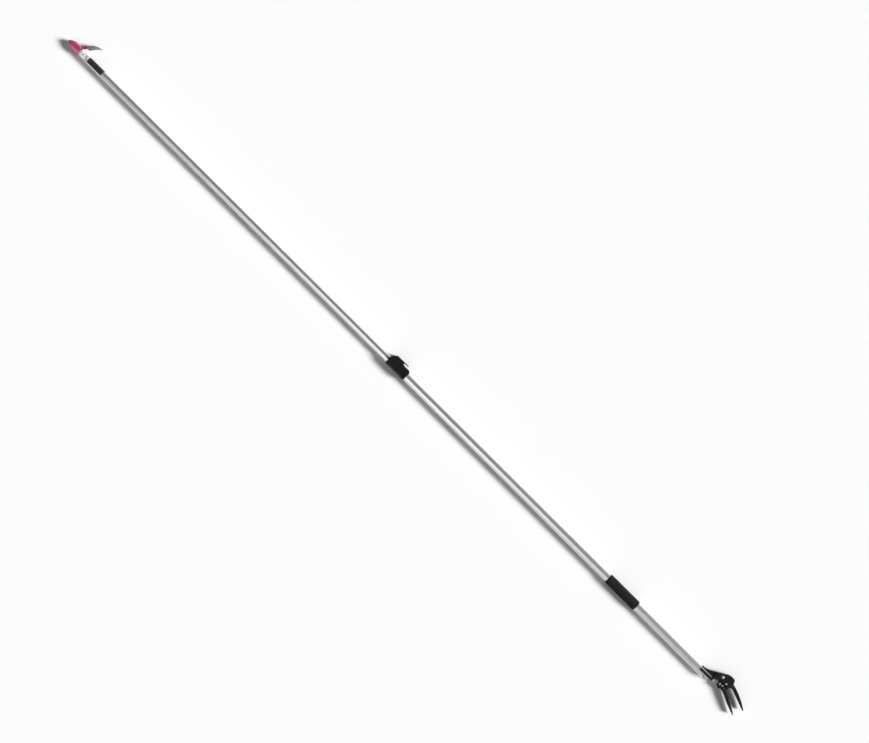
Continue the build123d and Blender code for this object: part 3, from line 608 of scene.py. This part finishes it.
def foamGrip(s):
    low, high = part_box("foam_grip")
    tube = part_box("lower_tube")
    outer = (high.z - low.z) / 2
    inner = (tube[1].z - tube[0].z) / 2
    length = high.x - low.x
    t = np.linspace(0, 1, s["steps"])
    front, rear = s["roll"]
    rolled = np.clip(1 - length * np.minimum(t / front, (1 - t) / rear), 0, 1)
    skin = inner + (outer - inner) * np.sqrt(1 - s["drop"] * rolled**2)
    angle = circleOf(s["around"])
    wave = np.zeros((s["steps"], s["around"]))
    for k, m in zip(s["waves"], s["turns"]):
        wave += np.sin(fullTurn * k * t[:, None] + s["shift"] * m) * np.cos(m * angle[None] + k)
    swell = s["uneven"] * (1 + wave / len(s["waves"]))       # never above the nominal radius
    radius = skin[:, None] - swell * (1 - rolled[:, None])
    circle = np.stack([0 * angle, np.cos(angle), np.sin(angle)], -1)
    outside = radius[..., None] * circle
    inside = np.broadcast_to(inner * circle, outside.shape)
    points = np.concatenate([outside, inside], 0)
    points[..., 0] = np.tile(low.x + length * t, 2)[:, None]
    points[len(t):] = points[len(t):][::-1].copy()           # back along the bore
    points[..., 2] += poleHeight
    piece = gridPiece("foam_grip_sleeve", points[None], "pole_base", "foam", closeRows=True)
    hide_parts("foam_grip")


foamGrip(gripSet)
print("foam grip made")

# Bolts, screws and rivets: a profile turned about each one's own axis. From the shank's end it runs
# up the shank, out under the head, over an elliptic dome and down into a six-sided key hole.
# Radii and heights in millimetres
upwards = (0, 0, 1)
downwards = (0, 0, -1)
sideways = (0, -1, 0)
headSets = {
    "pivot_bolt": dict(body="pole_base", shank=3.0, head=5.25, rise=2.6, key=2.3, way=upwards),
    "stop_pin": dict(body="pole_base", shank=2.0, head=3.0, rise=1.2, key=0.0, way=upwards),
    "link_pin": dict(body="squeeze_lever", shank=2.0, head=3.0, rise=1.0, key=0.0, way=upwards),
    "boss_rivet": dict(body="squeeze_lever", shank=1.7, head=2.5, rise=0.9, key=0.0, way=upwards),
    "counter_blade_screws": dict(body="upper_pole", shank=1.5, head=3.0, rise=1.6, key=1.45, way=upwards),
    "head_cover_screws": dict(body="upper_pole", shank=1.5, head=2.55, rise=1.5, key=1.3, way=downwards),
    "blade_rivets": dict(body="blade", shank=1.5, head=2.55, rise=1.0, key=0.0, way=downwards),
    "neck_rivets": dict(body="upper_pole", shank=2.0, head=3.2, rise=0.9, key=0.0, way=sideways),
    "clamp_screws": dict(body="pole_base", shank=2.0, head=3.4, rise=1.2, key=1.7, way=sideways),
}
headForm = {
    "rim": 0.22,          # upright rim, as a share of the rise
    "mouth": 1.3,         # flat round the key hole, as a share of its radius
    "floor": 0.45,        # the key hole's floor, as a share of the rise
    "steps": 12,
    "around": 72,
    "crease": 30,         # degrees
}


def headProfile(s, length):      # rows of radius, height above the head's seat, and 1 in the key hole
    head, rise, key = s["head"], s["rise"], s["key"]
    rim = headForm["rim"] * rise
    floor = headForm["floor"] * rise
    last = np.arccos(headForm["mouth"] * key / head) if key else np.pi / 2
    lean = np.linspace(0, last, headForm["steps"])
    climb = rim + (rise - rim) * np.sin(lean) / np.sin(last)
    dome = np.stack([head * np.cos(lean), climb, 0 * lean], 1)
    foot = [(0, -length, 0), (s["shank"], -length, 0), (s["shank"], 0, 0), (head, 0, 0)]
    hole = [(key, rise, 1), (key, floor, 1), (0, floor, 1)]
    return np.concatenate([foot, dome, hole if key else np.empty((0, 3))])


def sixSided(angle):             # radius of a hexagon of unit corner radius
    return np.cos(np.pi / 6) / np.cos(np.mod(angle, np.pi / 3) - np.pi / 6)


def turnedGrid(profile, seat, axis):
    radius, height, sided = (column[:, None] for column in (profile * (millimetre, millimetre, 1)).T)
    angle = circleOf(headForm["around"])[None]
    reach = radius * (1 + sided * (sixSided(angle) - 1))
    first = np.cross(axis, (1, 0, 0))
    second = np.cross(axis, first)
    across = (reach * np.cos(angle))[..., None] * first + (reach * np.sin(angle))[..., None] * second
    return seat + height[..., None] * axis + across


def turnedHeads(node, s):        # one head at each end of the node's box, or a single one in its middle
    low, high = (np.array(corner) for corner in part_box(node))
    way = np.array(s["way"], float)
    level = 1 - abs(way)
    inset = s["head"] * millimetre * level
    tip = np.where(way > 0, high, low) * abs(way)
    far = np.where(way > 0, low, high) * abs(way)
    length = np.linalg.norm(tip - far) / millimetre - s["rise"]
    spots = np.stack([(low + inset) * level, (high - inset) * level])
    if np.linalg.norm(spots[1] - spots[0]) < millimetre:
        spots = spots.mean(0, keepdims=True)
    seats = spots + tip - way * s["rise"] * millimetre
    profile = headProfile(s, length)
    grids = np.stack([turnedGrid(profile, seat, way) for seat in seats])
    piece = gridPiece(node + "_turned", grids, s["body"], slotOf[node], crease=headForm["crease"])
    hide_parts(node)


for headNode, headSet in headSets.items():
    turnedHeads(headNode, headSet)
print("turned heads made:", len(headSets))

# Nuts: a hexagon cut by a cone at both faces, r = min(hexagon, cone)
nutSets = {
    "pivot_nut": {"body": "pole_base", "cut": 0.9},
    "blade_pivot_nut": {"body": "upper_pole", "cut": 0.7},
}
nutForm = {
    "land": 0.97,         # radius of the flat face, as a share of half the width across flats
    "slope": 1.73,        # how fast the cone widens from the face
    "steps": 7,
    "around": 144,
    "crease": 28,         # degrees
}


def chamferedNut(node, s):
    low, high = (np.array(corner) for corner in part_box(node))
    middle = (low + high) / 2
    corner, flat = (high - low)[:2] / 2
    cut = s["cut"] * millimetre
    lower = np.linspace(low[2], low[2] + cut, nutForm["steps"])
    upper = np.linspace(high[2] - cut, high[2], nutForm["steps"])
    height = np.concatenate([lower, upper])
    fromFace = np.minimum(height - low[2], high[2] - height)[:, None]
    angle = circleOf(nutForm["around"])[None]
    cone = flat * nutForm["land"] + fromFace * nutForm["slope"]
    reach = np.minimum(corner * sixSided(angle), cone)
    reach = np.concatenate([0 * reach[:1], reach, 0 * reach[:1]])
    x = middle[0] + reach * np.cos(angle)
    y = middle[1] + reach * np.sin(angle)
    z = np.concatenate([low[2:], height, high[2:]])[:, None] + 0 * reach
    points = np.stack([x, y, z], -1)[None]
    piece = gridPiece(node + "_chamfered", points, s["body"], slotOf[node], crease=nutForm["crease"])
    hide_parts(node)


for nutNode, nutSet in nutSets.items():
    chamferedNut(nutNode, nutSet)
print("nuts made:", len(nutSets))

# Crown of the head: a low dome on the flat of the upper cover. Its two edges are parabolas from the nose,
# and each cross-section is the upper half of a blunt ellipse over a flat base. Lengths in millimetres
crownSet = {
    "rise": 2.0,
    "sink": 0.15,
    "inset": 2.1,                # from the cover's own edge
    "widest": (0.74, 0.60),      # where each edge stands furthest out, as a share of the length
    "nose": 2.5,
    "lift": (-1.5, 0.8),         # how far each edge comes in again at the rear
    "span": (0.075, 0.955),      # the crown's two ends, as shares of the head's length
    "blunt": 0.62,
    "endPower": 7,
    "endTaper": 0.3,
    "steps": 70,
    "around": 96,
}


def headCrown(s):
    low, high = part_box("upper_head_cover")
    t = np.linspace(*s["span"], s["steps"])
    nose = s["nose"] * millimetre
    edges = []
    for widest, side, lift in zip(s["widest"], (high.y, low.y), s["lift"]):
        before = np.clip(1 - t / widest, 0, 1)**2
        after = np.clip((t - widest) / (1 - widest), 0, 1)**2
        inner = side - np.sign(side) * s["inset"] * millimetre
        edges.append(inner + (nose - inner) * before + lift * millimetre * after)
    middle = (edges[0] + edges[1]) / 2
    half = np.maximum(edges[0] - edges[1], 0) / 2
    angle = circleOf(s["around"])
    fromMiddle = np.abs(2 * (t - t[0]) / (t[-1] - t[0]) - 1)
    ends = np.sqrt(np.clip(1 - fromMiddle**s["endPower"], 0, 1))
    bow = np.clip(np.sin(angle), 0, 1)**s["blunt"]
    x = low.x + (high.x - low.x) * t[:, None] + 0 * angle
    y = middle[:, None] + (half * ends**s["endTaper"])[:, None] * np.cos(angle)
    z = high.z + millimetre * (s["rise"] * ends[:, None] * bow - s["sink"])
    gridPiece("head_crown", np.stack([x, y, z], -1)[None], "upper_pole", "red_plastic")


headCrown(crownSet)
print("crown of the head made")


# Places t from -1 to 1 along a bar, closer together at its ends, and its thickness there, sqrt(1 - t^8)
def bluntBar(steps, power=8):
    along = np.sin(np.linspace(-np.pi / 2, np.pi / 2, steps))[None, :, None]
    return along, np.sqrt(np.clip(1 - along**power, 0, 1))


# Finger ridges on the lock lever's tab: flat pebbles, half sunk in the tab's outer face. Each is
# an elliptic bar across the tab with blunt ends. Lengths in millimetres
ridgeSet = {
    "count": 6,
    "first": 3.0,
    "pitch": 2.4,
    "half": 0.75,
    "rise": 0.55,
    "sink": 0.05,
    "inset": 1.2,
    "steps": 41,
    "around": 32,
}


def tabRidges(s):
    low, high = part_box("lock_lever")
    angle = circleOf(s["around"])[None, None]
    along, swell = bluntBar(s["steps"])
    spot = high.x - millimetre * (s["first"] + s["pitch"] * np.arange(s["count"]))[:, None, None]
    reach = (high.z - low.z) / 2 - s["inset"] * millimetre
    x = spot + s["half"] * millimetre * swell * np.cos(angle)
    y = high.y - s["sink"] * millimetre + s["rise"] * millimetre * swell * np.sin(angle)
    z = (high.z + low.z) / 2 + reach * along
    grids = np.stack(np.broadcast_arrays(x, y, z), -1)
    gridPiece("lever_tab_ridges", grids, "lock_lever", "black_plastic")


tabRidges(ridgeSet)
print("lever ridges made")

# Return spring: round wire along a helix, x = the running sum of the pitch, closed up at each end.
# Its one end rests on the plug. Lengths in millimetres
springSet = {
    "wire": 1.4,
    "turns": 8,
    "perTurn": 48,
    "around": 14,
    "closedTurns": 0.5,          # at each end, before the pitch begins to open
    "closedPitch": 1.03,         # pitch there, in wires
    "travel": 3.74,
}


def coilSpring(s):
    low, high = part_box("return_spring")
    wire = s["wire"] * millimetre / 2
    middle = (low + high) / 2
    mean = (high.z - low.z) / 2 - wire
    turn = np.linspace(0, s["turns"], s["turns"] * s["perTurn"] + 1)
    fromEnd = np.clip(np.minimum(turn, s["turns"] - turn) - s["closedTurns"], 0, 1)
    spread = fromEnd**2 * (3 - 2 * fromEnd)        # 0 in the closed turns, 1 between them
    length = high.x - low.x - 2 * wire
    tight = 2 * wire * s["closedPitch"]
    pitch = tight + (length - tight * s["turns"]) * spread / (spread.mean() * s["turns"])
    run = np.concatenate([[0], np.cumsum((pitch[1:] + pitch[:-1]) / 2)])
    x = low.x + wire + length * run / run[-1]
    angle = fullTurn * turn
    out = np.stack([0 * angle, np.cos(angle), np.sin(angle)], -1)
    spine = mean * out + np.stack([x, middle.y + 0 * x, middle.z + 0 * x], -1)
    ahead = np.gradient(spine, axis=0)
    ahead /= np.linalg.norm(ahead, axis=1, keepdims=True)
    side = np.cross(ahead, out)
    way = circleOf(s["around"])[None, :, None]
    thick = np.full((len(turn), 1, 1), wire)
    thick[[0, -1]] = 0                             # the wire's two ends close to a point
    points = spine[:, None] + thick * (np.cos(way) * out[:, None] + np.sin(way) * side[:, None])
    piece = gridPiece("return_spring_coil", points[None], "pole_base", slotOf["return_spring"])
    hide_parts("return_spring")
    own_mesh(piece)


coilSpring(springSet)
print("return spring made")

# Beads moulded along the clamp's two rounded corners, half sunk in them: elliptic bars with blunt ends,
# leant round the corner's own centre. Lengths in millimetres
beadSet = {
    "corner": 7.0,
    "lean": (28, 62),            # degrees from straight up, and as much from straight down
    "half": 1.1,
    "rise": 0.6,
    "inset": 4.5,
    "steps": 61,
    "around": 32,
}


def clampBeads(s):
    low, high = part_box("clamp_body")
    around = circleOf(s["around"])[None, None]
    along, swell = bluntBar(s["steps"])
    swell = millimetre * swell
    upper = np.radians(s["lean"])
    lean = np.concatenate([upper, np.pi - upper])[:, None, None]
    corner = s["corner"] * millimetre
    outward = corner + s["rise"] * swell * np.sin(around)
    aside = s["half"] * swell * np.cos(around)
    reach = (high.x - low.x) / 2 - s["inset"] * millimetre
    centre = np.where(np.cos(lean) > 0, high.z - corner, low.z + corner)
    x = (high.x + low.x) / 2 + reach * along
    y = low.y + corner - np.sin(lean) * outward + np.cos(lean) * aside
    z = centre + np.cos(lean) * outward + np.sin(lean) * aside
    grids = np.stack(np.broadcast_arrays(x, y, z), -1)
    # the beads' paler colour is a painted highlight; their lower roughness is real polish
    paintedHighlight = blackMould("bead_highlight_mould", beadHighlightSet)
    gridPiece("clamp_beads", grids, "pole_base", "black_plastic", finish=paintedHighlight)


clampBeads(beadSet)
print("clamp beads made")

# Floor and light: a pale floor, one soft lamp from the right of the picture that throws the shadow,
# and a long white screen on the other side that the bright metal mirrors
stageSet = {
    "floor": 120.0,
    "drop": 0.0004,                # floor below the pole's lowest point, so that faces don't flicker
    "pale": 0.96,
    "dim": 0.01,                   # sky away from the screen
    "haze": 0.9,                   # sky close to the horizon
    "hazeRise": 0.10,              # sine of the height where the haze ends
    "screen": 2.40,                # the screen's brightness
    "screenWay": (0.0, -0.64, 0.77),
    "screenEdge": (0.62, 0.94),    # cosines where the screen begins and is full
    "screenSlim": 6.4,             # how much slimmer it is along the pole than across
    "lampWay": (0.850, 0.527),     # level direction towards the lamp
    "lampRise": 33.0,              # degrees above the floor
    "lampPower": 4.94,
    "lampSpread": 19.0,            # degrees across, for soft shadows
}


def makeFloor(s):
    corner = np.array([(-1, -1), (1, -1), (1, 1), (-1, 1)]) * s["floor"] / 2
    points = np.concatenate([corner, np.full((4, 1), -s["drop"])], 1)
    mesh = bpy.data.meshes.new("studio_floor")
    mesh.from_pydata(points.tolist(), [], [(0, 1, 2, 3)])
    floor = bpy.data.objects.new("studio_floor", mesh)
    scene.collection.objects.link(floor)
    f = Finish("pale_floor", Roughness=0.9, Specular_IOR_Level=0.0)
    f.shader.inputs["Base Color"].default_value = (s["pale"], s["pale"], s["pale"], 1)
    mesh.materials.append(f.material)


def makeSky(s):
    world = bpy.data.worlds.new("studio_glow")
    world.use_nodes = True
    scene.world = world
    sky = Wire(world.node_tree)
    way = sky.add("ShaderNodeTexCoord", out="Generated")
    slim = sky.vector("NORMALIZE", sky.vector("MULTIPLY", way, (s["screenSlim"], 1, 1)))
    facing = sky.vector("DOT_PRODUCT", slim, Vector(s["screenWay"]).normalized(), "Value")
    screen = sky.ramp(facing, *s["screenEdge"], s["screen"])
    rise = sky.add("ShaderNodeSeparateXYZ", links={"Vector": way}, out="Z")
    haze = sky.ramp(rise, s["hazeRise"], 0.0, s["haze"])
    back = world.node_tree.nodes["Background"]
    back.inputs["Color"].default_value = (1, 1, 1, 1)
    world.node_tree.links.new((screen + haze + s["dim"]).socket, back.inputs["Strength"])


def makeLamp(s):
    lamp = bpy.data.lights.new("soft_lamp", "SUN")
    lamp.energy = s["lampPower"]
    lamp.angle = np.radians(s["lampSpread"])
    holder = bpy.data.objects.new("soft_lamp", lamp)
    climb = np.radians(s["lampRise"])
    towards = Vector((*(np.array(s["lampWay"]) * np.cos(climb)), np.sin(climb)))
    holder.rotation_mode = "QUATERNION"
    holder.rotation_quaternion = towards.to_track_quat("Z", "Y")
    scene.collection.objects.link(holder)


makeFloor(stageSet)
makeSky(stageSet)
makeLamp(stageSet)
print("floor and light set")
